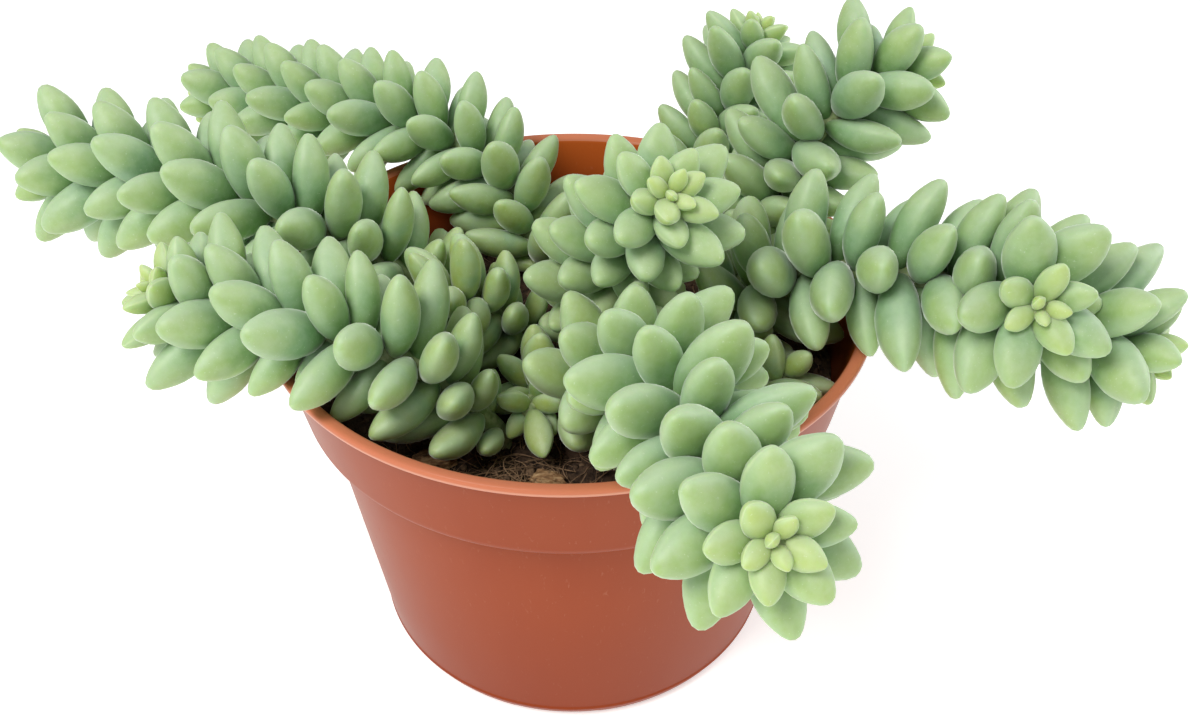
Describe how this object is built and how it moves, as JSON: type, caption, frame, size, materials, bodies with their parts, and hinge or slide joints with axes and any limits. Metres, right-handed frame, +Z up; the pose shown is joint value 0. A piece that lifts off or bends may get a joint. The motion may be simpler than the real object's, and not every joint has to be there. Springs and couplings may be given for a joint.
{
  "type": "potted burro's tail succulent",
  "caption": "Burro's tail succulent in a tapered plastic nursery pot, its thick stems packed with plump blue-green leaves spilling over the rim.",
  "frame": {"origin": "on the pot's axis, on the surface that the pot stands on", "axes": "+Z up along the pot's axis, -Y to the front, where a stem trails over the rim towards the viewer; +X to the right, where the longest stem reaches out"},
  "size_m": [0.2035, 0.1691, 0.1145],
  "materials": {
    "pot": "satin terracotta-coloured moulded plastic",
    "soil": "crumbly moist peat with fibres",
    "bark": "rough dry bark",
    "leaf": "plump leaf with a pale waxy bloom"
  },
  "bodies": {
    "root": {"pot": "pot", "soil": "soil", "chip_front_left": "bark", "chip_front": "bark", "chip_back_left": "bark", "chip_right": "bark", "stem_left": "leaf", "stem_back_left": "leaf", "stem_front_left": "leaf", "stem_centre": "leaf", "stem_front": "leaf", "stem_right": "leaf", "stem_back_right": "leaf", "stem_back": "leaf", "stem_inner_left": "leaf", "stem_inner_front": "leaf", "stem_inner_middle": "leaf", "stem_inner_right": "leaf"}
  },
  "joints": []
}
